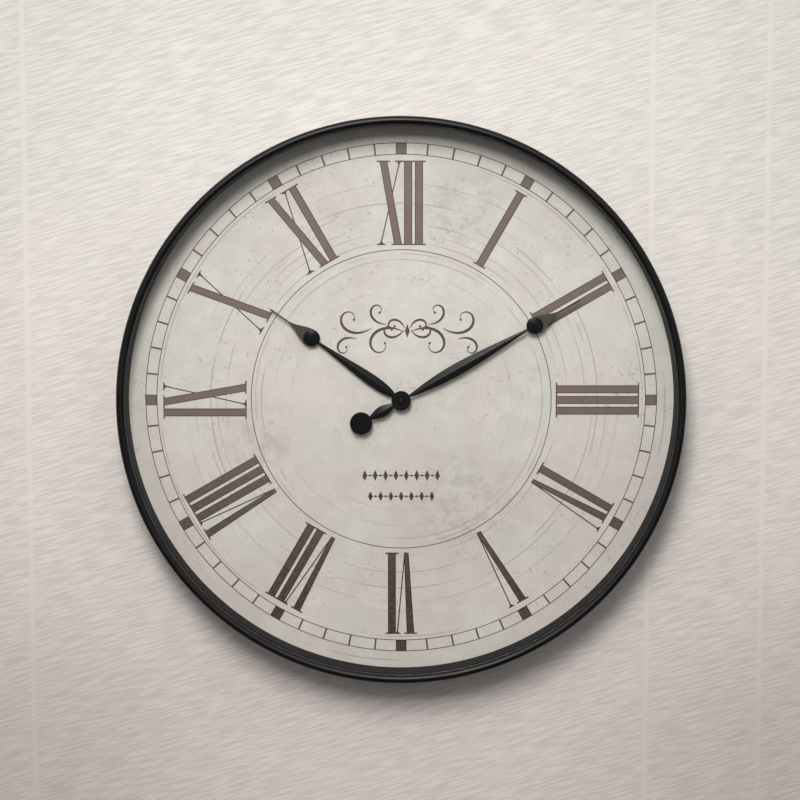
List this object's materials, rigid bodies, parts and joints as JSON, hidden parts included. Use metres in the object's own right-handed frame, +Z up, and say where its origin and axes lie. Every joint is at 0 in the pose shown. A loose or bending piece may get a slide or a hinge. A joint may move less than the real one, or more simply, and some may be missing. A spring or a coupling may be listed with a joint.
{
  "type": "wall clock",
  "caption": "Round wall clock with a black metal rim, glass, Roman-numeral dial, black spade hands, and a battery quartz movement hung from a keyhole plate.",
  "frame": {"origin": "where the dial's axis meets the wall plane that the rim's pads rest on", "axes": "+Z up to 12 o'clock, +X towards 3 o'clock, the dial faces -Y and the wall is on +Y"},
  "size_m": [0.6, 0.066, 0.6],
  "materials": {
    "rim_black": "satin black powder coat, slightly glossy",
    "pad_felt": "matt black foam",
    "gasket_foam": "matt black",
    "glass": "clear float glass",
    "spacer": "matt grey-brown board",
    "dial_paper": "matt printed paper, warm grey, aged",
    "board": "raw fibre board",
    "bright_steel": "zinc plated sheet",
    "screw_steel": "bright zinc",
    "movement_black": "fine matt black",
    "brass": "turned brass",
    "battery_wrap": "printed sleeve, no lettering",
    "contact_metal": "nickel plated spring strip",
    "circuit_green": "solder resist",
    "can_metal": "drawn can",
    "gear_white": "natural acetal",
    "copper_wire": "enamelled copper winding",
    "core_iron": "soft iron",
    "magnet": "ground grey magnet",
    "knob_white": "fine matt off-white",
    "hand_black": "matt black lacquer",
    "cap_black": "gloss black lacquer"
  },
  "bodies": {
    "case": {"case_rim": "rim_black", "wall_pads": "pad_felt", "lens_gasket": "gasket_foam", "glass_lens": "glass", "spacer_ring": "spacer", "dial_sheet": "dial_paper", "dial_board": "board", "retaining_clips": "bright_steel", "clip_screws": "screw_steel", "hanger_plate": "bright_steel", "hanger_screws": "screw_steel", "movement_base": "movement_black", "movement_cover": "movement_black", "middle_plate": "gear_white", "rubber_washer": "gasket_foam", "brass_washer": "brass", "post_nut": "brass", "contact_positive": "contact_metal", "contact_negative": "contact_metal", "circuit_board": "circuit_green", "quartz_can": "can_metal", "coil_bobbin": "gear_white", "coil_winding": "copper_wire", "coil_core": "core_iron", "stator": "core_iron"},
    "minute": {"minute_hand": "hand_black", "minute_pipe": "brass", "cap_nut": "cap_black"},
    "hour": {"hour_hand": "hand_black", "hour_wheel": "gear_white"},
    "minute_work": {"minute_work_wheel": "gear_white"},
    "setting": {"setting_shaft": "gear_white", "setting_knob": "knob_white"},
    "seconds": {"seconds_wheel": "gear_white"},
    "third": {"third_wheel": "gear_white"},
    "centre": {"centre_wheel": "gear_white"},
    "intermediate": {"intermediate_wheel": "gear_white"},
    "rotor_body": {"rotor": "magnet"},
    "cell": {"battery": "battery_wrap"}
  },
  "joints": [
    {"name": "minute_hand_turn", "type": "hinge", "parent": "case", "child": "minute", "pos_m": [0, -0.0342, 0], "axis": [0, 1, 0], "continuous": true},
    {"name": "hour_hand_turn", "type": "hinge", "parent": "case", "child": "hour", "pos_m": [0, -0.031, 0], "axis": [0, 1, 0], "continuous": true},
    {"name": "minute_work_turn", "type": "hinge", "parent": "case", "child": "minute_work", "pos_m": [0, -0.015, 0.0096], "axis": [0, 1, 0], "continuous": true},
    {"name": "setting_knob_turn", "type": "hinge", "parent": "case", "child": "setting", "pos_m": [0.00651, -0.003, 0.01611], "axis": [0, 1, 0], "continuous": true},
    {"name": "seconds_wheel_turn", "type": "hinge", "parent": "case", "child": "seconds", "pos_m": [0, -0.008, 0], "axis": [0, 1, 0], "continuous": true},
    {"name": "third_wheel_turn", "type": "hinge", "parent": "case", "child": "third", "pos_m": [0.01015, -0.009, 0.00369], "axis": [0, 1, 0], "continuous": true},
    {"name": "centre_wheel_turn", "type": "hinge", "parent": "case", "child": "centre", "pos_m": [0, -0.013, 0], "axis": [0, 1, 0], "continuous": true},
    {"name": "intermediate_wheel_turn", "type": "hinge", "parent": "case", "child": "intermediate", "pos_m": [-0.00789, -0.009, 0.00287], "axis": [0, 1, 0], "continuous": true},
    {"name": "rotor_turn", "type": "hinge", "parent": "case", "child": "rotor_body", "pos_m": [-0.00877, -0.007, 0.01002], "axis": [0, 1, 0], "continuous": true},
    {"name": "battery_lift", "type": "slide", "parent": "case", "child": "cell", "axis": [0, 1, 0], "range_m": [0, 0.025]}
  ],
  "couplings": [
    {"joint": "hour_hand_turn", "follows": "minute_hand_turn", "ratio": 0.083333},
    {"joint": "minute_work_turn", "follows": "minute_hand_turn", "ratio": -0.33333},
    {"joint": "setting_knob_turn", "follows": "minute_hand_turn", "ratio": 1.2},
    {"joint": "third_wheel_turn", "follows": "seconds_wheel_turn", "ratio": -0.125},
    {"joint": "centre_wheel_turn", "follows": "seconds_wheel_turn", "ratio": 0.016667},
    {"joint": "intermediate_wheel_turn", "follows": "seconds_wheel_turn", "ratio": -6},
    {"joint": "rotor_turn", "follows": "seconds_wheel_turn", "ratio": 30}
  ]
}
